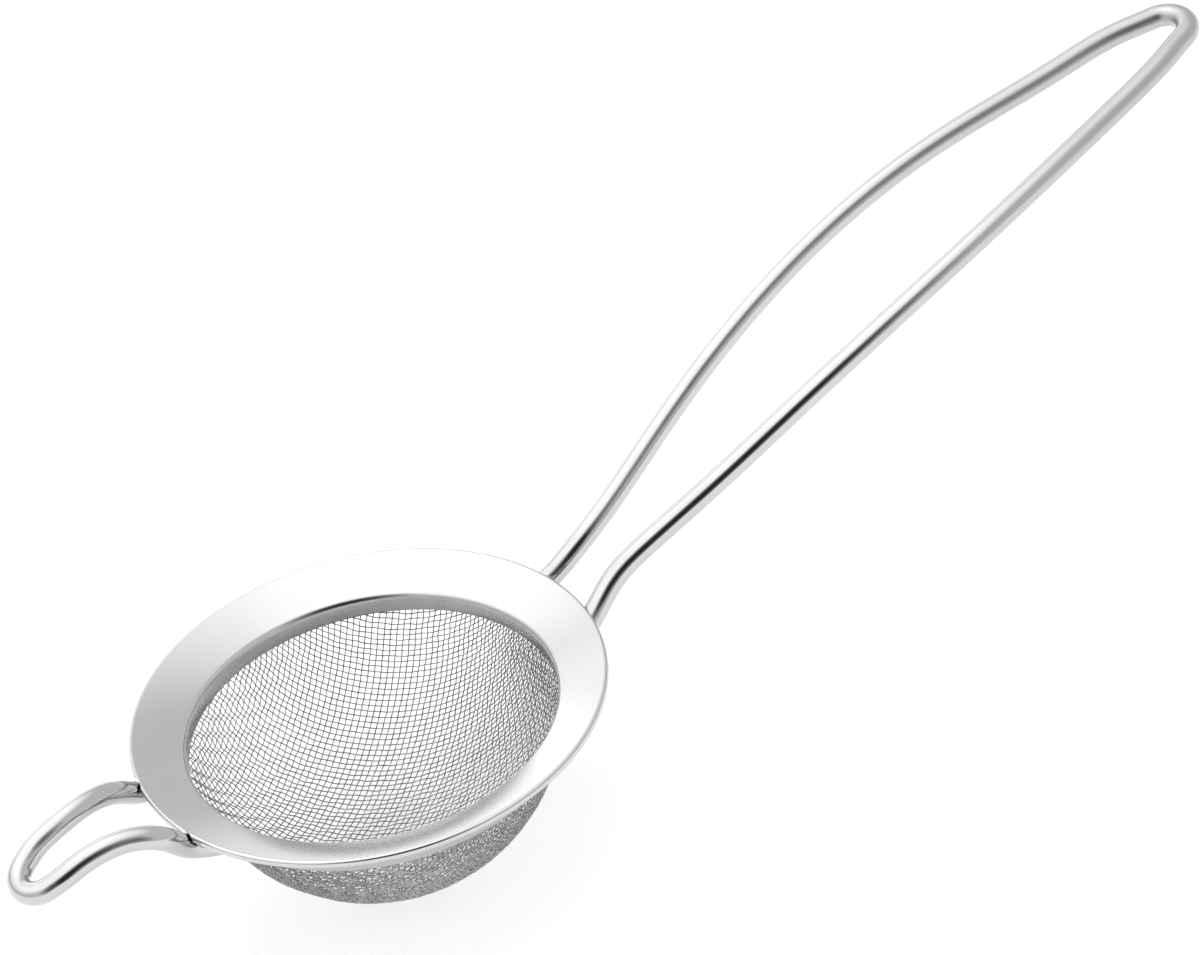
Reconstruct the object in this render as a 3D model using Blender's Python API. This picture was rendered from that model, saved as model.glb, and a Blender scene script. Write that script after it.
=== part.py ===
# Round tea strainer: a dished sheet rim, a ring that clamps a wire cloth bowl to it,
# a long hairpin wire handle, a short wire rest loop and four weld beads.
#
# Frame: +Z up, the origin at the lowest point of the bowl, on the bowl's axis.
# The handle runs out along +X and the rest loop along -X. Sizes below are in millimetres.

import math

import bmesh
import bpy
import numpy as np
from mathutils import Matrix, Vector

MM = 0.001

# Overall
RIM_DIAMETER = 80.0
RIM_HEIGHT = 33.75  # top of the rim above the lowest point of the bowl

# Rim: one sheet pressing, from its turned-down edge over the dished flange to its collar
RIM_SHEET = 0.5
EDGE_DEPTH = 1.05  # height of the turned-down edge
EDGE_BEND = 0.35  # bend radius at mid-sheet, under the outer edge
FLANGE_SLOPE = math.radians(21.7)
LIP_BEND = 0.9  # bend radius at mid-sheet, between flange and collar
COLLAR_BORE = 62.2  # inner diameter
COLLAR_DEPTH = 3.06  # lower edge of the collar below the corner between it and the flange

# Wire cloth bowl and the ring that clamps its edge to the outside of the collar
CLOTH_THICKNESS = 0.5
BOWL_INSET = 0.5  # radius of the bowl's ball less than that of its seat on the collar
BOWL_BASE_FLAT = 3.0  # radius of the small flat at the very bottom
CLOTH_FLARE = 2.5  # height over which the cloth opens out from the ball to the collar
CLAMP_SHEET = 0.5
CLAMP_HEIGHT = 3.95
CLAMP_FLANGE_GAP = 1.0  # upper edge of the ring below the underside of the flange
SEAT_GAP = 0.3  # clearance between pieces that touch

# Wires
WIRE_DIAMETER = 4.0
WIRE_END_STANDOFF = 1.7  # wire end to the outside of the clamp ring, radially
NOTCH_CLEARANCE = 0.35  # round a wire, where it passes through the rim's edge
NOTCH_BRIDGE = 0.62  # height of rim left above a wire at the notch
NOTCH_LENGTH = 7.0
NOTCH_PATH_SPACING = 0.4  # between the points of a wire's path that a notch follows
NOTCH_BEVEL_RESOLUTION = 10

# Each leg of a wire, as (distance out from the rim's edge, half spread, height above the rim).
# The stretch under the rim is worked out from the rim.
HANDLE_END_SPREAD = 8.3
HANDLE_EDGE_SPREAD = 7.2
HANDLE_STATIONS = [
    (6.0, 5.9, 1.55),
    (13.0, 6.5, 5.15),
    (27.0, 9.2, 11.95),
    (41.0, 11.4, 18.75),
    (56.0, 12.9, 25.05),
    (71.0, 13.4, 30.25),
    (94.0, 12.0, 36.15),
    (117.5, 8.5, 40.45),
    (130.0, 6.2, 42.85),
]
HANDLE_REACH = 138.9  # centre of the wire at the tip, out from the rim's edge
HANDLE_TIP_HEIGHT = 44.05
HANDLE_TIP_RADIUS = 4.6

REST_END_SPREAD = 10.0
REST_EDGE_SPREAD = 8.9
REST_ROOT_SHIFT = 2.2  # both legs under the rim and at its edge, towards the strainer's left
REST_STATIONS = [
    (4.0, 7.8, 2.45),
    (8.0, 6.7, 4.15),
    (12.5, 5.8, 4.45),
    (17.0, 5.25, 3.75),
    (21.0, 4.75, 2.45),
]
REST_REACH = 25.7
REST_TIP_HEIGHT = 0.45
REST_TIP_RADIUS = 4.5

# Weld beads in the groove between each wire and the flange
WELD_RADIUS = 0.75
WELD_LENGTH = 2.6  # straight part of the bead
WELD_GAP = 0.4
WELD_SETTLE_STEPS = 4  # rounds of moving a bead until it sits against wire and flange

# Facets
RIM_STEPS = 72
BOWL_STEPS = 48
BOWL_RINGS = 11
BEND_STEPS = 4
WIRE_POINT_SPACING = 2.6
TIP_POINTS = 9
WIRE_BEVEL_RESOLUTION = 4

# Values that follow from those above
RIM_RADIUS = RIM_DIAMETER / 2
WIRE_RADIUS = WIRE_DIAMETER / 2
COLLAR_MID_RADIUS = COLLAR_BORE / 2 + RIM_SHEET / 2
COLLAR_OUTER_RADIUS = COLLAR_BORE / 2 + RIM_SHEET
CLOTH_SEAT_RADIUS = COLLAR_OUTER_RADIUS + SEAT_GAP + CLOTH_THICKNESS / 2  # mid-cloth
CLAMP_INNER_RADIUS = CLOTH_SEAT_RADIUS + CLOTH_THICKNESS / 2 + SEAT_GAP
CLAMP_OUTER_RADIUS = CLAMP_INNER_RADIUS + CLAMP_SHEET
EDGE_MID_RADIUS = RIM_RADIUS - RIM_SHEET / 2


def clear_scene():
    for item in list(bpy.data.objects):
        bpy.data.objects.remove(item, do_unlink=True)


def metal(name, colour, roughness):
    material = bpy.data.materials.new(name)
    material.use_nodes = True
    shader = material.node_tree.nodes["Principled BSDF"]
    shader.inputs["Base Color"].default_value = (*colour, 1.0)
    shader.inputs["Metallic"].default_value = 1.0
    shader.inputs["Roughness"].default_value = roughness
    return material


def link_mesh(name, bm, material, smooth_angle=30.0):
    bmesh.ops.recalc_face_normals(bm, faces=bm.faces)
    mesh = bpy.data.meshes.new(name)
    bm.to_mesh(mesh)
    bm.free()
    mesh.shade_smooth()
    mesh.set_sharp_from_angle(angle=math.radians(smooth_angle))
    mesh.materials.append(material)
    piece = bpy.data.objects.new(name, mesh)
    bpy.context.collection.objects.link(piece)
    return piece


def turned(name, profile, steps, material, closed=True):
    """Turns a profile of (radius, height) points, in millimetres, about the Z axis."""
    bm = bmesh.new()
    verts = [bm.verts.new((r * MM, 0.0, z * MM)) for r, z in profile]
    pairs = list(zip(verts, verts[1:]))
    if closed:
        pairs.append((verts[-1], verts[0]))
    edges = [bm.edges.new(pair) for pair in pairs]
    bmesh.ops.spin(
        bm,
        geom=verts + edges,
        cent=(0.0, 0.0, 0.0),
        axis=(0.0, 0.0, 1.0),
        angle=2 * math.pi,
        steps=steps,
        use_merge=True,
    )
    bmesh.ops.remove_doubles(bm, verts=bm.verts, dist=0.001 * MM)
    return link_mesh(name, bm, material)


# ---- the sheet rim ----


def flange_corner_height():
    """Height of mid-flange, extended to the edge, that puts the rounded crown at the rim's top."""
    crown = EDGE_BEND * (1.0 - math.tan(FLANGE_SLOPE) - 1.0 / math.cos(FLANGE_SLOPE))
    return RIM_HEIGHT - RIM_SHEET / 2 - crown


def flange_mid_height(radius):
    return flange_corner_height() - (EDGE_MID_RADIUS - radius) * math.tan(FLANGE_SLOPE)


def flange_underside_height(radius):
    return flange_mid_height(radius) - RIM_SHEET / 2 / math.cos(FLANGE_SLOPE)


def collar_foot_height():
    return flange_mid_height(COLLAR_MID_RADIUS) - COLLAR_DEPTH


def clamp_top_height():
    return flange_underside_height(CLAMP_OUTER_RADIUS) - CLAMP_FLANGE_GAP


def bend(corner, before, after, radius):
    """Points of an arc of the radius that rounds a corner, with the normals on its left."""
    a = (before - corner).normalized()
    b = (after - corner).normalized()
    half = a.angle(b) / 2
    centre = corner + (a + b).normalized() * (radius / math.sin(half))
    start = corner + a * (radius / math.tan(half)) - centre
    turn = math.copysign(math.pi - 2 * half, a.cross(b))
    points = []
    for i in range(BEND_STEPS + 1):
        angle = -turn * i / BEND_STEPS
        arm = Vector(
            (
                start.x * math.cos(angle) - start.y * math.sin(angle),
                start.x * math.sin(angle) + start.y * math.cos(angle),
            )
        )
        left = -arm.normalized() if turn < 0 else arm.normalized()
        points.append((centre + arm, left))
    return points


def rim_profile():
    """Outline of the pressing's section: its mid-line, offset to both faces of the sheet."""
    edge_foot = Vector((EDGE_MID_RADIUS, RIM_HEIGHT - EDGE_DEPTH))
    crown = Vector((EDGE_MID_RADIUS, flange_corner_height()))
    lip = Vector((COLLAR_MID_RADIUS, flange_mid_height(COLLAR_MID_RADIUS)))
    collar_foot = Vector((COLLAR_MID_RADIUS, collar_foot_height()))
    inward = Vector((-1.0, 0.0))
    line = [(edge_foot, inward)]
    line += bend(crown, edge_foot, lip, EDGE_BEND)
    line += bend(lip, crown, collar_foot, LIP_BEND)
    line += [(collar_foot, inward)]
    half = RIM_SHEET / 2
    one_face = [tuple(point + normal * half) for point, normal in line]
    other_face = [tuple(point - normal * half) for point, normal in line]
    return one_face + other_face[::-1]


# ---- the wires ----


def smooth_path(stations, spacing):
    """Points along a natural cubic spline through the stations, about a spacing apart."""
    knots = np.array(stations, float)
    chords = np.linalg.norm(np.diff(knots, axis=0), axis=1)
    t = np.concatenate([[0.0], np.cumsum(chords)])
    count = len(t)
    system = np.eye(count)
    slopes = np.diff(knots, axis=0) / chords[:, None]
    right = np.zeros_like(knots)
    for i in range(1, count - 1):
        system[i, i - 1 : i + 2] = (chords[i - 1], 2 * (chords[i - 1] + chords[i]), chords[i])
        right[i] = 6 * (slopes[i] - slopes[i - 1])
    curvature = np.linalg.solve(system, right)
    path = []
    for i in range(count - 1):
        h = chords[i]
        cuts = max(1, round(h / spacing))
        for k in range(cuts):
            u = h * k / cuts
            rise = slopes[i] - h * (2 * curvature[i] + curvature[i + 1]) / 6
            bow = (curvature[i + 1] - curvature[i]) / (6 * h)
            path.append(knots[i] + u * rise + u * u * curvature[i] / 2 + u**3 * bow)
    path.append(knots[-1])
    return [Vector(point) for point in path]


def wire_root(end_spread, edge_spread):
    """A leg's end under the flange, and its place at the rim's edge."""
    end_radius = CLAMP_OUTER_RADIUS + WIRE_END_STANDOFF
    clear = (WIRE_RADIUS + SEAT_GAP) / math.cos(FLANGE_SLOPE)
    end = (
        math.sqrt(end_radius**2 - end_spread**2),
        end_spread,
        flange_underside_height(end_radius) - clear,
    )
    edge = (
        math.sqrt(EDGE_MID_RADIUS**2 - edge_spread**2),
        edge_spread,
        RIM_HEIGHT - NOTCH_BRIDGE - NOTCH_CLEARANCE - WIRE_RADIUS,
    )
    return end, edge


def wire_stations(roots, stations, reach, tip_height, tip_radius):
    """One leg from its end to the tip, the round tip, and the other leg back, along +X."""
    first_root, second_root = roots
    leg = [(RIM_RADIUS + out, spread, RIM_HEIGHT + up) for out, spread, up in stations]
    last = leg[-1]
    tip_x = RIM_RADIUS + reach
    rise = (RIM_HEIGHT + tip_height - last[2]) / (tip_x - last[0])
    tip = []
    for i in range(TIP_POINTS):
        angle = math.radians(80.0 - 160.0 * i / (TIP_POINTS - 1))
        x = tip_x - tip_radius * (1 - math.cos(angle))
        tip.append((x, tip_radius * math.sin(angle), last[2] + rise * (x - last[0])))
    back = [(x, -y, z) for x, y, z in reversed([*second_root, *leg])]
    return [*first_root, *leg, *tip, *back]


def facing(points, direction):
    """The same points for a wire that runs out along +X (1) or -X (-1)."""
    return [(direction * x, direction * y, z) for x, y, z in points]


def rod(name, path, radius, resolution):
    """A round rod along points in millimetres."""
    curve = bpy.data.curves.new(name, "CURVE")
    curve.dimensions = "3D"
    curve.bevel_depth = radius * MM
    curve.bevel_resolution = resolution
    curve.use_fill_caps = True
    spline = curve.splines.new("POLY")
    spline.points.add(len(path) - 1)
    for point, place in zip(spline.points, path):
        point.co = (*(place * MM), 1.0)
    spline.use_smooth = True
    piece = bpy.data.objects.new(name, curve)
    bpy.context.collection.objects.link(piece)
    return piece


def wire(name, stations, material):
    path = smooth_path(stations, WIRE_POINT_SPACING)
    piece = rod(name, path, WIRE_RADIUS, WIRE_BEVEL_RESOLUTION)
    piece.data.materials.append(material)


def cut_notch(rim, name, leg):
    """Cuts the rim's edge where a wire passes, with a rod that follows the wire there."""
    edge = Vector(leg[1])
    path = smooth_path(leg, NOTCH_PATH_SPACING)
    at = min(range(1, len(path) - 1), key=lambda k: (path[k] - edge).length)
    along = (path[at + 1] - path[at - 1]).normalized()
    outside = path[at : at + round(NOTCH_LENGTH / NOTCH_PATH_SPACING)]
    # The rod starts inside the turned-down edge, clear of the flange over it.
    line = [edge - along * EDGE_BEND, *outside]
    guide = rod(name, line, WIRE_RADIUS + NOTCH_CLEARANCE, NOTCH_BEVEL_RESOLUTION)
    graph = bpy.context.evaluated_depsgraph_get()
    mesh = bpy.data.meshes.new_from_object(guide.evaluated_get(graph))
    bpy.data.objects.remove(guide, do_unlink=True)
    bm = bmesh.new()
    bm.from_mesh(mesh)
    bmesh.ops.remove_doubles(bm, verts=bm.verts, dist=0.001 * MM)
    bmesh.ops.recalc_face_normals(bm, faces=bm.faces)
    bm.to_mesh(mesh)
    bm.free()
    cutter = bpy.data.objects.new(name, mesh)
    cutter.hide_render = True
    cutter.display_type = "WIRE"
    bpy.context.collection.objects.link(cutter)
    notch = rim.modifiers.new(name, "BOOLEAN")
    notch.object = cutter
    notch.operation = "DIFFERENCE"
    notch.solver = "EXACT"


def weld_bead(name, end, edge, material):
    """A round-ended bead in the groove between a wire, on its inner side, and the flange."""
    along = (edge - end).normalized()
    middle = (end + edge) / 2
    side = along.cross(Vector((0.0, 0.0, 1.0))).normalized()
    if side.y * middle.y > 0:
        side.negate()
    reach = WIRE_RADIUS + WELD_GAP + WELD_RADIUS
    below = (WELD_GAP + WELD_RADIUS) / math.cos(FLANGE_SLOPE)
    aside = reach
    for _ in range(WELD_SETTLE_STEPS):
        centre = middle + side * aside
        centre.z = flange_underside_height(math.hypot(centre.x, centre.y)) - below
        aside = math.sqrt(reach**2 - (centre.z - middle.z) ** 2)
    bm = bmesh.new()
    bmesh.ops.create_uvsphere(bm, u_segments=12, v_segments=8, radius=WELD_RADIUS * MM)
    for vert in bm.verts:
        if abs(vert.co.z) > WELD_RADIUS * MM / 100:  # the middle ring stays where it is
            vert.co.z += math.copysign(WELD_LENGTH / 2 * MM, vert.co.z)
    turn = along.to_track_quat("Z", "Y").to_matrix().to_4x4()
    bmesh.ops.transform(bm, matrix=Matrix.Translation(centre * MM) @ turn, verts=bm.verts)
    return link_mesh(name, bm, material)


# ---- the cloth bowl and its clamp ring ----


def bowl_line(offset):
    """Section of one face of the bowl, from its centre out and up to its edge."""
    ball = CLOTH_SEAT_RADIUS - BOWL_INSET + offset
    outside = CLOTH_SEAT_RADIUS - BOWL_INSET + CLOTH_THICKNESS / 2
    centre_height = math.sqrt(outside**2 - BOWL_BASE_FLAT**2)
    seat = CLOTH_SEAT_RADIUS + offset
    seat_low = collar_foot_height() - SEAT_GAP
    seat_high = clamp_top_height() - SEAT_GAP
    last = math.acos((centre_height - seat_low + CLOTH_FLARE) / ball)
    first = math.asin(BOWL_BASE_FLAT / ball)
    line = [(0.0, centre_height - ball * math.cos(first))]
    for i in range(BOWL_RINGS + 1):
        angle = first + (last - first) * i / BOWL_RINGS
        line.append((ball * math.sin(angle), centre_height - ball * math.cos(angle)))
    line.append((seat, seat_low))
    line.append((seat, seat_high))
    return line


def bowl_profile():
    half = CLOTH_THICKNESS / 2
    return bowl_line(-half) + bowl_line(half)[::-1]


def clamp_profile():
    high = clamp_top_height()
    low = high - CLAMP_HEIGHT
    return [
        (CLAMP_INNER_RADIUS, low),
        (CLAMP_OUTER_RADIUS, low),
        (CLAMP_OUTER_RADIUS, high),
        (CLAMP_INNER_RADIUS, high),
    ]


def build():
    clear_scene()
    satin = metal("satin_steel", (0.78, 0.77, 0.75), 0.28)
    bright = metal("bright_wire_steel", (0.80, 0.79, 0.77), 0.16)
    cloth = metal("wire_cloth_steel", (0.62, 0.61, 0.60), 0.35)
    weld = metal("weld_steel", (0.55, 0.53, 0.50), 0.45)

    rim = turned("rim", rim_profile(), RIM_STEPS, satin)
    turned("clamp_ring", clamp_profile(), RIM_STEPS, satin)
    turned("mesh_basket", bowl_profile(), BOWL_STEPS, cloth, closed=False)

    handle_roots = [wire_root(HANDLE_END_SPREAD, HANDLE_EDGE_SPREAD)] * 2
    rest_roots = [
        wire_root(REST_END_SPREAD + shift, REST_EDGE_SPREAD + shift)
        for shift in (-REST_ROOT_SHIFT, REST_ROOT_SHIFT)
    ]
    wires = (
        ("handle", 1, handle_roots, HANDLE_STATIONS,
         HANDLE_REACH, HANDLE_TIP_HEIGHT, HANDLE_TIP_RADIUS),
        ("rest", -1, rest_roots, REST_STATIONS,
         REST_REACH, REST_TIP_HEIGHT, REST_TIP_RADIUS),
    )
    for label, direction, roots, stations, reach, tip_height, tip_radius in wires:
        route = facing(wire_stations(roots, stations, reach, tip_height, tip_radius), direction)
        wire(f"{label}_wire", route, bright)
        for leg in (route, route[::-1]):
            end, edge = Vector(leg[0]), Vector(leg[1])
            hand = "left" if end.y > 0 else "right"
            cut_notch(rim, f"notch_{label}_{hand}", leg)
            weld_bead(f"weld_{label}_{hand}", end, edge, weld)


build()
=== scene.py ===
import math

import bmesh
import bpy
import numpy as np
from mathutils import Matrix, Vector, noise


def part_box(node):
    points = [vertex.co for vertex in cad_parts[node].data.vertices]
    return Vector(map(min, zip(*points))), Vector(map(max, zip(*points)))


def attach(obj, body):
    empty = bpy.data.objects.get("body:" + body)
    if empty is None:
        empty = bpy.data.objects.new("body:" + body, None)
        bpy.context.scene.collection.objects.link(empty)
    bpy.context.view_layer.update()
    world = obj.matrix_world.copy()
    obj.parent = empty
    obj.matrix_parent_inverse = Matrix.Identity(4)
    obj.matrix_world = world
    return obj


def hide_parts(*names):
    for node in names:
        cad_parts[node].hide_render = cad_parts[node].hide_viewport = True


# Tea strainer: the looks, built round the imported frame. +Z is up, the handle runs out along +X
# and the origin is the lowest point of the bowl. The pieces' own dictionaries are in millimetres
# and degrees; the frame, the finishes, the light and the camera are in metres.

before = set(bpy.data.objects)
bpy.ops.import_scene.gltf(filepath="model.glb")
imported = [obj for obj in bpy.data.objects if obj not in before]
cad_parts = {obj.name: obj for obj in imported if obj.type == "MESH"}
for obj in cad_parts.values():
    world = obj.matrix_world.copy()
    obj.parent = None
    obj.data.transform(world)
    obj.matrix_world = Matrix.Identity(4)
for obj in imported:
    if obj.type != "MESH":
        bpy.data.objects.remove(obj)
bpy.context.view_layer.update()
mm = 0.001

rimLow, rimHigh = (Vector(corner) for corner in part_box("rim"))
ringLow, ringHigh = (Vector(corner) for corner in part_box("clamp_ring"))
clothLow, clothHigh = (Vector(corner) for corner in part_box("mesh_basket"))
rimRadius = (rimHigh.y - rimLow.y) / 2
rimTop = rimHigh.z
ringRadius = (ringHigh.y - ringLow.y) / 2
print("frame loaded: rim", round(rimRadius * 2 / mm, 1), "mm across")


class Link:  # one socket of a shader node; arithmetic on it adds Math nodes
    def __init__(self, finish, socket):
        self.finish, self.socket = finish, socket

    def math(self, operation, *others):
        return self.finish.node("ShaderNodeMath", {"operation": operation}, others)

    def __add__(self, other):
        return self.math("ADD", self, other)

    def __sub__(self, other):
        return self.math("SUBTRACT", self, other)

    def __rsub__(self, other):
        return self.math("SUBTRACT", other, self)

    def __mul__(self, other):
        return self.math("MULTIPLY", self, other)

    __radd__ = __add__
    __rmul__ = __mul__


class Finish:  # one material and its nodes
    def __init__(self, name, owner=None):
        self.material = owner or bpy.data.materials.new(name)
        self.material.use_nodes = True
        self.tree = self.material.node_tree
        self.shader = self.tree.nodes.get("Principled BSDF")

    def node(self, kind, settings=None, values=(), output=0):
        made = self.tree.nodes.new(kind)
        for key, value in (settings or {}).items():
            if key == "stops":
                self.setStops(made.color_ramp, value)
            else:
                setattr(made, key, value)
        named = values.items() if isinstance(values, dict) else enumerate(values)
        for key, value in named:
            self.feed(made.inputs[key], value)
        return Link(self, made.outputs[output])

    def setStops(self, ramp, stops):
        while len(ramp.elements) < len(stops):
            ramp.elements.new(1.0)
        for element, (place, value) in zip(ramp.elements, stops):
            element.position = place
            element.color = (value, value, value, 1.0)

    def feed(self, socket, value):
        if isinstance(value, Link):
            self.tree.links.new(value.socket, socket)
        else:
            socket.default_value = value

    def set(self, **values):
        for key, value in values.items():
            self.feed(self.shader.inputs[key.replace("_", " ")], value)

    def mixColour(self, factor, first, second):
        # 0, 6 and 7 are the node's factor and its two colours; 2 is its mixed colour
        first, second = (
            (*colour, 1.0) if isinstance(colour, tuple) else colour for colour in (first, second)
        )
        sockets = {0: factor, 6: first, 7: second}
        return self.node("ShaderNodeMix", {"data_type": "RGBA"}, sockets, output=2)

    def vector(self, operation, *values, output=0):
        return self.node("ShaderNodeVectorMath", {"operation": operation}, values, output)

    def noise(self, place, scale, detail=2.0, roughness=0.5):
        values = {"Vector": place, "Scale": scale, "Detail": detail, "Roughness": roughness}
        return self.node("ShaderNodeTexNoise", {}, values)

    def ramp(self, factor, stops):
        return self.node("ShaderNodeValToRGB", {"stops": stops}, {"Fac": factor})

    def bump(self, height, strength, distance, normal=None):
        values = {"Height": height, "Strength": strength, "Distance": distance}
        if normal is not None:
            values["Normal"] = normal
        return self.node("ShaderNodeBump", {}, values)


def objectPlace(finish):  # the node's output 3 is Object
    return finish.node("ShaderNodeTexCoord", {}, (), output=3)


def attribute(finish, name, output=1):  # output 1 is a vector, 2 a number
    return finish.node("ShaderNodeAttribute", {"attribute_name": name}, (), output)


sheetLook = {
    "colour": (0.562, 0.562, 0.560),
    "stain": (0.505, 0.502, 0.495),
    "roughness": 0.17,
    "grainStrength": 0.05,
    "grainDepth": 0.00002,
    "grainScale": 9000.0,  # lines to the metre, across the brushing
    "coarseScale": 2600.0,
    "cloudScale": 90.0,
    "speckScale": 2600.0,
    "speck": (0.25, 0.24, 0.23),
}


def sheetFinish(name, look):
    # satin sheet brushed round the axis: fine and coarse lines that follow the rim, faint clouds
    # and specks; the noise changes slowly along a line and fast across it
    finish = Finish(name)
    place = objectPlace(finish)
    height = finish.node("ShaderNodeSeparateXYZ", {}, [place], output=2)
    flat = finish.vector("MULTIPLY", place, (1.0, 1.0, 0.0))
    radius = finish.vector("LENGTH", flat, output=1)
    bearing = finish.vector("NORMALIZE", flat)
    across = radius * 0.8 + height
    lines = finish.vector("MULTIPLY", bearing, (6.0, 6.0, 0.0))
    offset = finish.node("ShaderNodeCombineXYZ", {}, [0.0, 0.0, across * look["grainScale"]])
    grain = finish.noise(finish.vector("ADD", lines, offset), 1.0, 3.0, 0.6)
    offset = finish.node("ShaderNodeCombineXYZ", {}, [0.0, 0.0, across * look["coarseScale"]])
    coarse = finish.noise(finish.vector("ADD", lines, offset), 1.0, 2.0, 0.5)
    cloud = finish.noise(place, look["cloudScale"], 3.0, 0.55)
    speck = finish.ramp(finish.noise(place, look["speckScale"], 1.0), [(0.70, 0.0), (0.78, 1.0)])
    tone = finish.mixColour(
        finish.ramp(cloud, [(0.35, 0.0), (0.75, 0.35)]), look["colour"], look["stain"]
    )
    tone = finish.mixColour(speck * 0.12, tone, look["speck"])
    finish.set(
        Base_Color=tone,
        Metallic=1.0,
        Roughness=(grain - 0.5) * 0.10 + (cloud - 0.5) * 0.05 + look["roughness"],
        Normal=finish.bump(grain + coarse * 0.6, look["grainStrength"], look["grainDepth"]),
    )
    return finish.material


wireLook = {
    "colour": (0.540, 0.538, 0.533),
    "dull": (0.470, 0.466, 0.458),
    "satin": (0.440, 0.434, 0.430),
    "satinFrom": 0.080,
    "satinTo": 0.165,
    "roughness": 0.13,
    "lineStrength": 0.05,
    "lineDepth": 0.00002,
    "lineScale": 5200.0,
    "brushScale": 9000.0,
    "cloudScale": 110.0,
    "waveScale": 260.0,
    "waveStrength": 0.06,
    "waveDepth": 0.0002,
    "pitScale": 3400.0,
    "pit": (0.22, 0.21, 0.20),
}


def wireFinish(name, look):
    # drawn wire: faint lines along its length, read on the wire as if it were pulled straight
    finish = Finish(name)
    straight = attribute(finish, "pulledStraight")
    stretched = finish.vector("MULTIPLY", straight, (1.0, 1.0, 0.02))
    lines = finish.noise(stretched, look["lineScale"], 3.0, 0.6)
    cloud = finish.noise(straight, look["cloudScale"], 3.0, 0.6)
    wave = finish.noise(straight, look["waveScale"], 1.0, 0.5)
    pits = finish.ramp(finish.noise(straight, look["pitScale"], 1.0), [(0.70, 0.0), (0.77, 1.0)])
    tone = finish.mixColour(
        finish.ramp(cloud, [(0.35, 0.0), (0.75, 0.5)]), look["colour"], look["dull"]
    )
    tone = finish.mixColour(pits * 0.15, tone, look["pit"])
    # the handle's far end is duller, from satinFrom out to satinTo along X
    x = finish.node("ShaderNodeSeparateXYZ", {}, [objectPlace(finish)])
    satin = finish.node(
        "ShaderNodeMapRange", {"interpolation_type": "SMOOTHSTEP"},
        [x, look["satinFrom"], look["satinTo"], 0.0, 1.0],
    )
    stretched = finish.vector("MULTIPLY", straight, (1.0, 1.0, 0.06))
    brushed = finish.noise(stretched, look["brushScale"], 3.0, 0.7)
    tone = finish.mixColour(satin * (brushed * 0.6 + 0.5), tone, look["satin"])
    unevenness = (lines - 0.5) * 0.10 + (cloud - 0.5) * 0.06
    smooth = finish.bump(wave, look["waveStrength"], look["waveDepth"])
    height = lines + satin * brushed * 2.0
    finish.set(
        Base_Color=tone,
        Metallic=1.0,
        Roughness=unevenness + satin * (brushed * 0.2 + 0.10) + look["roughness"],
        Normal=finish.bump(height, look["lineStrength"], look["lineDepth"], smooth),
    )
    return finish.material


clothLook = {
    # bright and dark are the ends of the wires' colour, which carries painted shade and painted
    # highlight as well as each wire's own tone
    "bright": (0.430, 0.425, 0.418),
    "dark": (0.200, 0.195, 0.190),
    "roughness": 0.17,
    "cloudScale": 160.0,
    "fineScale": 7000.0,
    "fineStrength": 0.12,
    "fineDepth": 0.00001,
}


def clothFinish(name, look):
    # fine woven wire: each wire has its own tone; where it passes under it is rougher and painted
    # shade darkens it, and its crowns get a painted highlight
    finish = Finish(name)
    place = objectPlace(finish)
    tone = attribute(finish, "wireTone", 2)
    crown = attribute(finish, "crown", 2)
    cloud = finish.noise(place, look["cloudScale"], 3.0, 0.6)
    fine = finish.noise(place, look["fineScale"], 2.0, 0.6)
    # painted shade and painted highlight from crown (darker at 0, lighter at 1), mixed with each
    # wire's own tone and random clouds
    paintedShadeAndTone = (1.0 - crown) * 0.45 + tone * 0.35 + (cloud - 0.5) * 0.5
    finish.set(
        Base_Color=finish.mixColour(paintedShadeAndTone, look["bright"], look["dark"]),
        Metallic=1.0,
        Roughness=paintedShadeAndTone * 0.10 + (fine - 0.5) * 0.12 + look["roughness"],
        Normal=finish.bump(fine, look["fineStrength"], look["fineDepth"]),
    )
    return finish.material


weldLook = {
    "metal": (0.520, 0.500, 0.470),
    "straw": (0.420, 0.320, 0.190),
    "blue": (0.200, 0.230, 0.320),
    "roughness": 0.36,
    "heatScale": 900.0,
    "rippleScale": 2600.0,
    "rippleStrength": 0.35,
    "rippleDepth": 0.00008,
}


def weldFinish(name, look):
    # rippled bead with patches of straw and blue heat tint
    finish = Finish(name)
    place = objectPlace(finish)
    heat = finish.noise(place, look["heatScale"], 3.0, 0.6)
    ripple = finish.noise(place, look["rippleScale"], 3.0, 0.6)
    tone = finish.mixColour(
        finish.ramp(heat, [(0.42, 0.0), (0.60, 0.8)]), look["metal"], look["straw"]
    )
    tone = finish.mixColour(finish.ramp(heat, [(0.58, 0.0), (0.72, 0.7)]), tone, look["blue"])
    finish.set(
        Base_Color=tone,
        Metallic=1.0,
        Roughness=(ripple - 0.5) * 0.3 + look["roughness"],
        Normal=finish.bump(ripple, look["rippleStrength"], look["rippleDepth"]),
    )
    return finish.material


satinSheet = sheetFinish("satinSheet", sheetLook)
ringLook = dict(sheetLook, colour=(0.43, 0.42, 0.405), roughness=0.26, grainStrength=0.1)
satinRing = sheetFinish("satinRing", ringLook)
brightWire = wireFinish("brightWire", wireLook)
wireCloth = clothFinish("wireCloth", clothLook)
weldMetal = weldFinish("weldMetal", weldLook)
print("finishes made")


mergeReach = 0.0002 * mm
creaseFrom = 40.0  # degrees between faces, past which an edge is shaded sharp
cornerAngle = math.radians(60.0)  # edges sharper than this are the cut edges of a sheet


def place(name, mesh, material, slotName, *nodes):
    mesh.materials.clear()
    mesh.materials.append(material)
    piece = bpy.data.objects.new(name, mesh)
    bpy.context.collection.objects.link(piece)
    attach(piece, "root")
    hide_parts(*nodes)
    return piece


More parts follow.
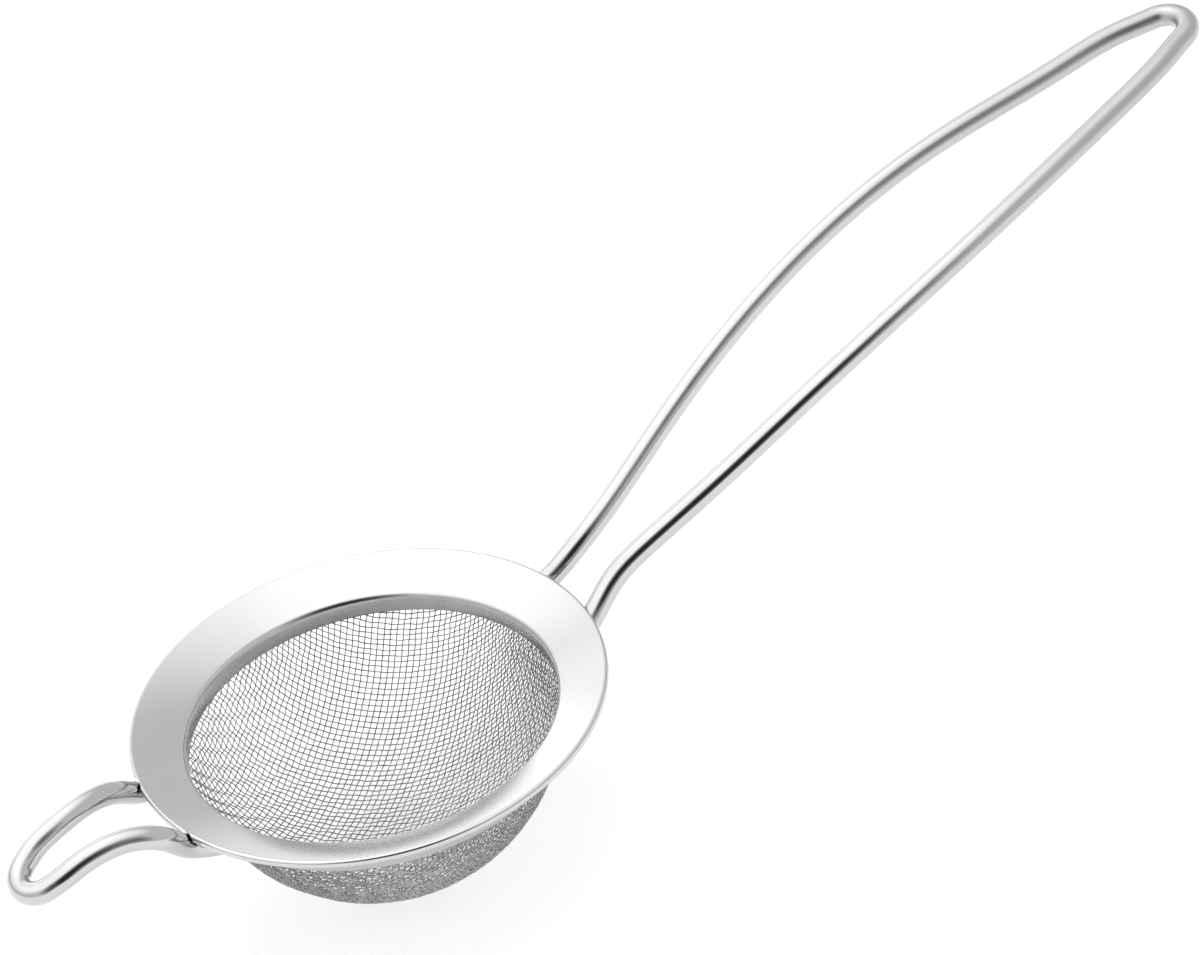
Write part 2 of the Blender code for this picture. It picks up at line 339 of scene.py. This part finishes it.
def toMesh(name, bm, sharpAngle=creaseFrom):
    bmesh.ops.remove_doubles(bm, verts=bm.verts, dist=mergeReach)
    bmesh.ops.recalc_face_normals(bm, faces=bm.faces)
    mesh = bpy.data.meshes.new(name)
    bm.to_mesh(mesh)
    bm.free()
    mesh.shade_smooth()
    mesh.set_sharp_from_angle(angle=math.radians(sharpAngle))
    return mesh


def spun(profile, steps):
    # an open line of (radius, height) corners turned round the axis
    bm = bmesh.new()
    corners = [bm.verts.new((r, 0.0, z)) for r, z in profile]
    edges = [bm.edges.new(pair) for pair in zip(corners, corners[1:])]
    bmesh.ops.spin(
        bm, geom=corners + edges, cent=(0, 0, 0), axis=(0, 0, 1),
        angle=2 * math.pi, steps=steps, use_merge=True,
    )
    bmesh.ops.remove_doubles(bm, verts=bm.verts, dist=mergeReach)
    return bm


def hoops(bm, radius, height, reach=0.01 * mm):
    # the round edges at one radius and height
    def onHoop(vert):
        away = math.hypot(vert.co.x, vert.co.y) - radius
        return abs(away) < reach and abs(vert.co.z - height) < reach

    return [e for e in bm.edges if onHoop(e.verts[0]) and onHoop(e.verts[1])]


def roundOff(bm, edges, offset, segments):
    bmesh.ops.bevel(
        bm, geom=edges, offset=offset, offset_type="OFFSET", affect="EDGES",
        segments=segments, profile=0.5, material=-1,
    )


# each leg's stations: (out from the rim's edge, half spread, height above the rim)
handle = {
    "radius": 2.0,
    "endSpread": 8.3,
    "edgeSpread": 7.2,
    "rootShift": 0.0,
    "stations": [
        (6.0, 5.9, 1.55), (13.0, 6.5, 5.15), (27.0, 9.2, 11.95), (41.0, 11.4, 18.75),
        (56.0, 12.9, 25.05), (71.0, 13.4, 30.25), (94.0, 12.0, 36.15), (117.5, 8.5, 40.45),
        (130.0, 6.2, 42.85),
    ],
    "spacing": 0.9,
    "reach": 138.9,
    "tipHeight": 44.05,
    "tipRadius": 4.6,
    "direction": 1,
}
rest = {
    "radius": 2.0,
    "endSpread": 10.0,
    "edgeSpread": 8.9,
    "rootShift": 2.2,
    "stations": [
        (4.0, 7.8, 2.45), (8.0, 6.7, 4.15), (12.5, 5.8, 4.45), (17.0, 5.25, 3.75),
        (21.0, 4.75, 2.45),
    ],
    "spacing": 0.7,
    "reach": 25.7,
    "tipHeight": 0.45,
    "tipRadius": 4.5,
    "direction": -1,
}
sheet = {
    "thickness": 0.5,
    "slope": math.radians(21.7),
    "crownRadius": 0.6,
    "lipRadius": 1.15,
    "edgeDepth": 1.05,
    "bore": 31.1,
    "footRound": 0.12,
    "steps": 240,
}
seat = {"standoff": 1.7, "gap": 0.3, "bridge": 0.62, "notch": 0.35}
tipTurn = {"points": 9, "from": 80.0}  # the round end of a wire, from one leg to the other


def flangeTop(radiusMm):
    # height of the flange's upper face, in millimetres, from the round of its outer edge
    crown = sheet["crownRadius"]
    middle = rimTop / mm - crown
    out = radiusMm - (rimRadius / mm - crown)
    return middle + crown / math.cos(sheet["slope"]) + out * math.tan(sheet["slope"])


def flangeUnderside(radiusMm):
    return flangeTop(radiusMm) - sheet["thickness"] / math.cos(sheet["slope"])


def wireRoot(wire, shift):
    # a leg's end under the flange and its place at the rim's edge, in millimetres
    endRadius = ringRadius / mm + seat["standoff"]
    clear = (wire["radius"] + seat["gap"]) / math.cos(sheet["slope"])
    edgeRadius = rimRadius / mm - sheet["thickness"] / 2
    endSpread, edgeSpread = wire["endSpread"] + shift, wire["edgeSpread"] + shift
    end = (
        math.sqrt(endRadius**2 - endSpread**2),
        endSpread,
        flangeUnderside(endRadius) - clear,
    )
    edge = (
        math.sqrt(edgeRadius**2 - edgeSpread**2),
        edgeSpread,
        rimTop / mm - seat["bridge"] - seat["notch"] - wire["radius"],
    )
    return [end, edge]


def wireRoute(wire):
    # stations in millimetres: from one end under the flange, round the tip, back to the other
    leg = [(rimRadius / mm + x, y, rimTop / mm + z) for x, y, z in wire["stations"]]
    tipX = rimRadius / mm + wire["reach"]
    rise = (rimTop / mm + wire["tipHeight"] - leg[-1][2]) / (tipX - leg[-1][0])
    tip = []
    for i in range(tipTurn["points"]):
        angle = math.radians(tipTurn["from"] * (1 - 2 * i / (tipTurn["points"] - 1)))
        x = tipX - wire["tipRadius"] * (1 - math.cos(angle))
        z = leg[-1][2] + rise * (x - leg[-1][0])
        tip.append((x, wire["tipRadius"] * math.sin(angle), z))
    back = wireRoot(wire, wire["rootShift"]) + leg
    back = [(x, -y, z) for x, y, z in back[::-1]]
    around = wireRoot(wire, -wire["rootShift"]) + leg + tip + back
    return [(wire["direction"] * x, wire["direction"] * y, z) for x, y, z in around]


def smoothPath(stations, spacing):
    # even points on a natural cubic spline through the stations
    knots = np.array(stations, float)
    chords = np.linalg.norm(np.diff(knots, axis=0), axis=1)
    system = np.eye(len(knots))
    right = np.zeros_like(knots)
    slopes = np.diff(knots, axis=0) / chords[:, None]
    for i in range(1, len(knots) - 1):
        system[i, i - 1 : i + 2] = (chords[i - 1], 2 * (chords[i - 1] + chords[i]), chords[i])
        right[i] = 6 * (slopes[i] - slopes[i - 1])
    bends = np.linalg.solve(system, right)
    path = []
    for i, chord in enumerate(chords):
        cuts = max(1, round(chord / spacing))
        for k in range(cuts):
            u = chord * k / cuts
            start = slopes[i] - chord * (2 * bends[i] + bends[i + 1]) / 6
            swing = (bends[i + 1] - bends[i]) / (6 * chord)
            path.append(knots[i] + u * start + u * u * bends[i] / 2 + u**3 * swing)
    path.append(knots[-1])
    return [Vector(point) * mm for point in path]


def sweptWire(name, path, radius, sides=32, endRound=0.25):
    # a ring pulled along the path; pulledStraight keeps where each point lies on the straight wire
    bm = bmesh.new()
    layer = bm.verts.layers.float_vector.new("pulledStraight")
    ring = bmesh.ops.create_circle(bm, cap_ends=False, radius=radius, segments=sides)["verts"]
    for vert in ring:
        vert[layer] = vert.co
    edges = list(bm.edges)
    ahead = (path[1] - path[0]).normalized()
    turn = ahead.to_track_quat("Z", "Y")
    before = Matrix.LocRotScale(path[0], turn, None)
    bmesh.ops.transform(bm, matrix=before, verts=ring)
    ends = [edges]
    run = 0.0
    for i in range(1, len(path)):
        goal = path[min(i + 1, len(path) - 1)] - path[i - 1]
        turn = ahead.rotation_difference(goal.normalized()) @ turn
        ahead = goal.normalized()
        after = Matrix.LocRotScale(path[i], turn, None)
        run += (path[i] - path[i - 1]).length
        new = bmesh.ops.extrude_edge_only(bm, edges=edges)["geom"]
        ring = [g for g in new if isinstance(g, bmesh.types.BMVert)]
        edges = [
            g for g in new
            if isinstance(g, bmesh.types.BMEdge) and g.verts[0] in ring and g.verts[1] in ring
        ]
        bmesh.ops.transform(bm, matrix=after @ before.inverted(), verts=ring)
        for vert in ring:
            flat = vert[layer]
            vert[layer] = (flat.x, flat.y, run)
        before = after
    ends.append(edges)
    for loop in ends:
        bmesh.ops.edgeloop_fill(bm, edges=loop)
        if endRound:
            roundOff(bm, [e for e in loop if e.is_valid], endRound * mm, 3)
    return toMesh(name, bm)


routes = {}
for label, wire in (("handle", handle), ("rest", rest)):
    routes[label] = wireRoute(wire)
    path = smoothPath(routes[label], wire["spacing"])
    bent = sweptWire(label + "Wire", path, wire["radius"] * mm)
    place(label + "Wire", bent, brightWire, "bright_wire", label + "_wire")
print("wires bent")


notchRod = {"spacing": 0.4, "points": 17, "sides": 40}


def notchCutter(leg, radius):
    # a rod that follows the wire from just inside the turned-down edge, clear of the flange
    path = smoothPath(leg, notchRod["spacing"])
    edge = Vector(leg[1]) * mm
    i = min(range(1, len(path) - 1), key=lambda k: (path[k] - edge).length)
    along = (path[i + 1] - path[i - 1]).normalized()
    inside = edge - along * (sheet["crownRadius"] - sheet["thickness"] / 2) * mm
    outside = path[i : i + notchRod["points"]]
    mesh = sweptWire("notch", [inside, *outside], radius, notchRod["sides"], 0.0)
    cutter = bpy.data.objects.new("notch", mesh)
    bpy.context.collection.objects.link(cutter)
    return cutter


def cutAway(mesh, cutters):
    # the mesh with the cutters taken out of it; the helpers are removed again
    blank = bpy.data.objects.new("blank", mesh)
    bpy.context.collection.objects.link(blank)
    for cutter in cutters:
        cut = blank.modifiers.new("cut", "BOOLEAN")
        cut.object, cut.operation, cut.solver = cutter, "DIFFERENCE", "EXACT"
    graph = bpy.context.evaluated_depsgraph_get()
    result = bpy.data.meshes.new_from_object(blank.evaluated_get(graph))
    for helper in [blank, *cutters]:
        bpy.data.objects.remove(helper, do_unlink=True)
    return result


def makeRim():
    # the sheet's upper face turned, its two bends rounded, then given its thickness and notches
    outer, bore = rimRadius, sheet["bore"] * mm
    crown = (outer, flangeTop(outer / mm) * mm)
    lip = (bore, flangeTop(sheet["bore"]) * mm)
    foot = (outer, rimTop - sheet["edgeDepth"] * mm)
    collarFoot = (bore, rimLow.z)
    bm = spun([foot, crown, lip, collarFoot], sheet["steps"])
    crownTurn = math.pi / 2 + sheet["slope"]
    lipTurn = math.pi / 2 - sheet["slope"]
    roundOff(bm, hoops(bm, *crown), sheet["crownRadius"] * mm * math.tan(crownTurn / 2), 10)
    roundOff(bm, hoops(bm, *lip), sheet["lipRadius"] * mm * math.tan(lipTurn / 2), 9)
    bmesh.ops.recalc_face_normals(bm, faces=bm.faces)
    top = max(bm.faces, key=lambda f: f.calc_center_median().z)
    if top.normal.z < 0:
        bmesh.ops.reverse_faces(bm, faces=bm.faces)
    bmesh.ops.solidify(bm, geom=bm.faces, thickness=sheet["thickness"] * mm)
    feet = [e for e in bm.edges if abs(e.calc_face_angle(0.0)) > cornerAngle]
    roundOff(bm, feet, sheet["footRound"] * mm, 2)
    cutters = []
    for label, wire in (("handle", handle), ("rest", rest)):
        for leg in (routes[label], routes[label][::-1]):
            cutters.append(notchCutter(leg, (wire["radius"] + seat["notch"]) * mm))
    mesh = cutAway(toMesh("rimSheet", bm), cutters)
    mesh.set_sharp_from_angle(angle=math.radians(creaseFrom))
    return mesh


place("rimSheet", makeRim(), satinSheet, "satin_sheet", "rim")

ring = {"thickness": 0.5, "cornerRound": 0.16, "steps": 240}


def makeRing():
    inner, outer = ringRadius - ring["thickness"] * mm, ringRadius
    low, high = ringLow.z, ringHigh.z
    section = [(inner, low), (outer, low), (outer, high), (inner, high), (inner, low)]
    bm = spun(section, ring["steps"])
    corners = [e for e in bm.edges if abs(e.calc_face_angle(0.0)) > cornerAngle]
    roundOff(bm, corners, ring["cornerRound"] * mm, 3)
    return toMesh("clampRing", bm)


place("clampRing", makeRing(), satinRing, "satin_ring", "clamp_ring")
print("rim and ring pressed")


weld = {
    "radius": 1.05,
    "length": 2.4,
    "rough": 0.16,
    "lumps": 900.0,  # to the metre
    "scatter": 4000.0,  # how far apart two beads' lumps are read
    "smoothTo": 80.0,
}


def makeWeld(name, leg):
    # a round-ended bead along the wire, swollen unevenly; each bead gets its own lumps
    end, edge = Vector(leg[0]), Vector(leg[1])
    low, high = (Vector(corner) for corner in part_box(name))
    middle = (low + high) / 2
    along = (edge - end).normalized()
    bm = bmesh.new()
    bmesh.ops.create_uvsphere(bm, u_segments=28, v_segments=18, radius=weld["radius"] * mm)
    for vert in bm.verts:
        vert.co.z *= 1.0 + weld["length"] / 2 / weld["radius"]
        swell = noise.noise(vert.co * weld["lumps"] + middle * weld["scatter"])
        vert.co += vert.co.normalized() * swell * weld["rough"] * mm
    turn = along.to_track_quat("Z", "Y").to_matrix().to_4x4()
    bmesh.ops.transform(bm, matrix=Matrix.Translation(middle) @ turn, verts=bm.verts)
    return toMesh(name, bm, weld["smoothTo"])


for wireName, route in routes.items():
    for leg in (route, route[::-1]):
        hand = "left" if leg[0][1] > 0 else "right"
        node = f"weld_{wireName}_{hand}"
        bead = f"weld{wireName.title()}{hand.title()}"
        place(bead, makeWeld(node, leg), weldMetal, "weld_metal", node)
print("welds laid")


cloth = {
    "pitches": (0.970, 1.077),
    "wireRadius": 0.108,
    "crimp": 0.145,
    "float": 1.15,
    "sides": 6,
    "bearings": (30.1, 149.9, 210.1, 329.9),
    "swings": (-3.4, 0.0, 15.4, -8.0),
    "swingRun": 45.0,
    "ball": 31.65,
    "baseFlat": 3.0,
    "thickness": 0.5,
    "flare": 2.5,
    "top": 29.6,
    "wander": 0.15,
    "wanderScale": 0.14,
    "jitter": 0.018,
    "netSeed": 11,
    "toneSeed": 5,
}
ballCentre = math.sqrt((cloth["ball"] + cloth["thickness"] / 2) ** 2 - cloth["baseFlat"] ** 2)
seatRadius = (clothHigh.y - clothLow.y) / 2 / mm - cloth["thickness"] / 2
seatLow = rimLow.z / mm - seat["gap"]
flareLow = seatLow - cloth["flare"]


def wallRadius(z):
    # radius of the cloth's middle at a height
    low = math.sqrt(cloth["ball"] ** 2 - (min(z, flareLow) - ballCentre) ** 2)
    return low + (seatRadius - low) * min(max((z - flareLow) / cloth["flare"], 0.0), 1.0)


def fromCentre(z):
    if z < flareLow:
        return cloth["ball"]
    return math.hypot(wallRadius(z), z - ballCentre)


def centralWire(bearing, swing, pitch, count=60):
    # from the lowest point out over the bowl; the swing turns it more the higher it climbs
    angles = np.linspace(0.0, math.acos((ballCentre - flareLow) / cloth["ball"]), 400)
    heights = np.linspace(flareLow, flareLow + 60.0, 400)[1:]
    r = np.append(cloth["ball"] * np.sin(angles), [wallRadius(z) for z in heights])
    z = np.append(ballCentre - cloth["ball"] * np.cos(angles), heights)
    climb = np.append(0.0, np.cumsum(np.hypot(np.diff(r), np.diff(z))))
    turn = np.radians(bearing + swing * np.minimum(climb / cloth["swingRun"], 1.3) ** 2)
    line = np.stack([r * np.cos(turn), r * np.sin(turn), z], axis=1)
    run = np.append(0.0, np.cumsum(np.linalg.norm(np.diff(line, axis=0), axis=1)))
    steps = np.arange(count) * pitch
    return np.stack([np.interp(steps, run, line[:, k]) for k in range(3)], axis=1)


def layNet(firstWire, secondWire):
    # a net of even meshes laid on the bowl between two central wires
    limit = cloth["top"] + 2.0
    first, second = cloth["pitches"]
    count = len(firstWire)
    net = np.full((count, count, 3), np.nan)
    net[:, 0], net[0, :] = firstWire, secondWire
    net[firstWire[:, 2] > limit, 0] = np.nan
    net[0, secondWire[:, 2] > limit] = np.nan
    centre = np.array([0.0, 0.0, ballCentre])
    for i in range(1, count):
        for j in range(1, count):
            a, b, c = net[i - 1, j], net[i, j - 1], net[i - 1, j - 1]
            if np.isnan(a).any() or np.isnan(b).any() or min(a[2], b[2]) > limit:
                continue
            p = a + b - c
            for _ in range(6):
                away = np.array([p - a, p - b, p - centre])
                wanted = np.array([first, second, fromCentre(p[2])])
                miss = (away**2).sum(axis=1) - wanted**2
                p = p - np.linalg.lstsq(2 * away, miss, rcond=1e-4)[0]
            net[i, j] = p
    return net


def clothPoints():
    # four quarters of net between the four central wires, then a little unevenness
    first, second = cloth["pitches"]
    wires = [
        centralWire(bearing, swing, pitch)
        for bearing, swing, pitch in zip(cloth["bearings"], cloth["swings"], (first, second) * 2)
    ]
    count = len(wires[0])
    full = np.empty((2 * count - 1, 2 * count - 1, 3))
    full[count - 1 :, count - 1 :] = layNet(wires[0], wires[1])
    full[:count, count - 1 :] = layNet(wires[2], wires[1])[::-1]
    full[:count, :count] = layNet(wires[2], wires[3])[::-1, ::-1]
    full[count - 1 :, :count] = layNet(wires[0], wires[3])[:, ::-1]
    dice = np.random.default_rng(cloth["netSeed"])
    full += dice.normal(0.0, cloth["jitter"], full.shape)
    for p in full.reshape(-1, 3):
        if not np.isnan(p[0]):
            spot = Vector(p) * cloth["wanderScale"]
            p[:2] += [noise.noise(spot + Vector((s, 0, 0))) * cloth["wander"] for s in (0, 40)]
    return full


def outward(p):
    # the cloth's outer side at a point
    core = min(ballCentre, p[2] if p[2] > seatLow else ballCentre)
    away = np.array([p[0], p[1], p[2] - core])
    return away / np.linalg.norm(away)


def weave(name, points, sign, flip):
    # all wires of one direction as one curve, then a mesh; flip swaps the two directions
    grid = points.transpose(1, 0, 2) if flip else points
    curve = bpy.data.curves.new(name, "CURVE")
    curve.dimensions = "3D"
    curve.bevel_depth = cloth["wireRadius"] * mm
    curve.bevel_resolution = cloth["sides"] // 2 - 2
    curve.use_fill_caps = True
    dice = np.random.default_rng(cloth["toneSeed"] + sign)
    tones, crowns = [], []
    floorHeight = cloth["thickness"] / 2
    for i, row in enumerate(grid):
        inside = [j for j, p in enumerate(row) if not np.isnan(p[0]) and p[2] < cloth["top"]]
        if len(inside) < 3:
            continue
        path, crown = [], []
        for j in range(inside[0], inside[-1] + 1):
            p = row[j].copy()
            if np.isnan(p[0]):
                continue
            p[2] = max(p[2], floorHeight)
            side = sign * (1 if (i + j) % 4 < 2 else -1)  # over two, under two
            lift = outward(p) * cloth["crimp"]
            # crown is 1 where the wire lies on the cloth's inner side and 0 where it passes under
            # to the outer side; the cloth's finish paints shade and highlight from it
            if path:
                bulge = (side + lastSide) / 2 * cloth["float"]
                path.append((last + p) / 2 + lift * bulge)
                crown.append(0.5 - bulge / 2)
            path.append(p + lift * side)
            crown.append(0.0 if side > 0 else 1.0)
            last, lastSide = p, side
        spline = curve.splines.new("POLY")
        spline.points.add(len(path) - 1)
        for point, spot in zip(spline.points, path):
            point.co = (*(spot * mm), 1.0)
        spline.use_smooth = True
        # the filled ends have points of their own, after those of the rings
        ends = [crown[0]] * cloth["sides"] + [crown[-1]] * cloth["sides"]
        crowns += list(np.repeat(crown, cloth["sides"])) + ends
        tones += [dice.uniform()] * (len(path) + 2) * cloth["sides"]
    helper = bpy.data.objects.new(name, curve)
    bpy.context.collection.objects.link(helper)
    graph = bpy.context.evaluated_depsgraph_get()
    mesh = bpy.data.meshes.new_from_object(helper.evaluated_get(graph))
    bpy.data.objects.remove(helper, do_unlink=True)
    for label, values in (("wireTone", tones), ("crown", crowns)):
        layer = mesh.attributes.new(label, "FLOAT", "POINT")
        layer.data.foreach_set("value", np.array(values, np.float32))
    bm = bmesh.new()
    bm.from_mesh(mesh)
    bmesh.ops.remove_doubles(bm, verts=bm.verts, dist=mergeReach)
    bm.to_mesh(mesh)
    bm.free()
    print(name, "woven,", len(mesh.polygons), "faces")
    return mesh


net = clothPoints()
place("clothWarp", weave("clothWarp", net, 1, False), wireCloth, "wire_cloth", "mesh_basket")
place("clothWeft", weave("clothWeft", net, -1, True), wireCloth, "wire_cloth", "mesh_basket")
print("cloth woven")


studio = {
    "floorSize": 6.0,
    "floorColour": (0.86, 0.86, 0.865),
    "floorGrain": (0.80, 0.80, 0.81),
    "floorGrainScale": 400.0,
    "floorDrop": 0.0002,
    "floorGlow": 0.29,
    # level, direction and spread of each part of the sky
    "overhead": (0.90, (-0.25, 0.25, 0.93), [(0.55, 0.0), (0.85, 1.0)]),
    "behind": (1.10, (0.15, 0.98, 0.08), [(0.85, 0.0), (1.0, 1.0)]),
    "darkSide": (0.03, (-0.37, -0.80, 0.47), [(0.78, 0.0), (0.97, 1.0)]),
    "around": 0.85,
    "keyPower": 0.8,
    "keySize": 0.6,
    "keyDistance": 1.1,
    "keyBearing": 100.0,
    "keyHeight": 68.0,
}


def makeFloor():
    bm = bmesh.new()
    bmesh.ops.create_grid(bm, x_segments=1, y_segments=1, size=studio["floorSize"] / 2)
    mesh = bpy.data.meshes.new("floor")
    bm.to_mesh(mesh)
    bm.free()
    finish = Finish("floorPaper")
    grain = finish.noise(objectPlace(finish), studio["floorGrainScale"], 2.0)
    tone = finish.mixColour(grain * 0.05, studio["floorColour"], studio["floorGrain"])
    finish.set(Base_Color=tone, Roughness=0.9, Specular_IOR_Level=0.1)
    finish.set(Emission_Color=(1.0, 1.0, 1.0, 1.0), Emission_Strength=studio["floorGlow"])
    mesh.materials.append(finish.material)
    floor = bpy.data.objects.new("floor", mesh)
    floor.location.z = -studio["floorDrop"]
    bpy.context.collection.objects.link(floor)


def makeSky():
    # bright overhead and behind, dim towards the side the camera stands on; plain white itself
    world = bpy.data.worlds.new("studio")
    bpy.context.scene.world = world
    sky = Finish("studio", world)
    direction = sky.node("ShaderNodeTexCoord")
    level = studio["around"]
    for part in ("overhead", "behind"):
        strength, towards, spread = studio[part]
        aim = sky.vector("DOT_PRODUCT", direction, towards, output=1)
        level = sky.ramp(aim, spread) * strength + level
    strength, towards, spread = studio["darkSide"]
    aim = sky.vector("DOT_PRODUCT", direction, towards, output=1)
    dark = sky.ramp(aim, spread)
    level = level * (1.0 - dark) + dark * strength
    seen = sky.node("ShaderNodeLightPath")
    plain = sky.mixColour(seen, (0.0, 0.0, 0.0), (1.0, 1.0, 1.0))
    grey = sky.node("ShaderNodeCombineColor", {}, [level, level, level])
    background = sky.tree.nodes["Background"]
    sky.feed(background.inputs["Color"], sky.mixColour(seen, grey, plain))
    background.inputs["Strength"].default_value = 1.0


def makeKey():
    # one soft lamp, placed by its compass bearing and height over the floor
    light = bpy.data.lights.new("key", "AREA")
    light.shape, light.size, light.energy = "DISK", studio["keySize"], studio["keyPower"]
    lamp = bpy.data.objects.new("key", light)
    bearing, height = math.radians(studio["keyBearing"]), math.radians(studio["keyHeight"])
    flat = Vector((math.cos(bearing), math.sin(bearing), 0.0)) * math.cos(height)
    toLight = flat + Vector((0.0, 0.0, math.sin(height)))
    lamp.location = toLight * studio["keyDistance"]
    lamp.rotation_euler = toLight.to_track_quat("Z", "Y").to_euler()
    bpy.context.collection.objects.link(lamp)


view = {
    "from": (-0.25707, -0.59222, 0.50487),  # from the middle of the rim's top
    "right": (0.81206, -0.55917, -0.16697),
    "down": (-0.44957, -0.41702, -0.78992),
    "lens": 150.0,
    "sensor": 36.0,
    "clip": (0.01, 50.0),
}


def makeCamera():
    camera = bpy.data.cameras.new("camera")
    camera.lens, camera.sensor_width = view["lens"], view["sensor"]
    camera.clip_start, camera.clip_end = view["clip"]
    holder = bpy.data.objects.new("camera", camera)
    right, down = Vector(view["right"]).normalized(), Vector(view["down"]).normalized()
    back = right.cross(-down)
    turn = Matrix((right, -down, back)).transposed()
    spot = Vector(view["from"]) + Vector((0.0, 0.0, rimTop))
    holder.matrix_world = Matrix.Translation(spot) @ turn.to_4x4()
    bpy.context.collection.objects.link(holder)
    bpy.context.scene.camera = holder


makeFloor()
makeSky()
makeKey()
makeCamera()
bpy.context.scene.view_settings.view_transform = "Standard"
print("studio set")
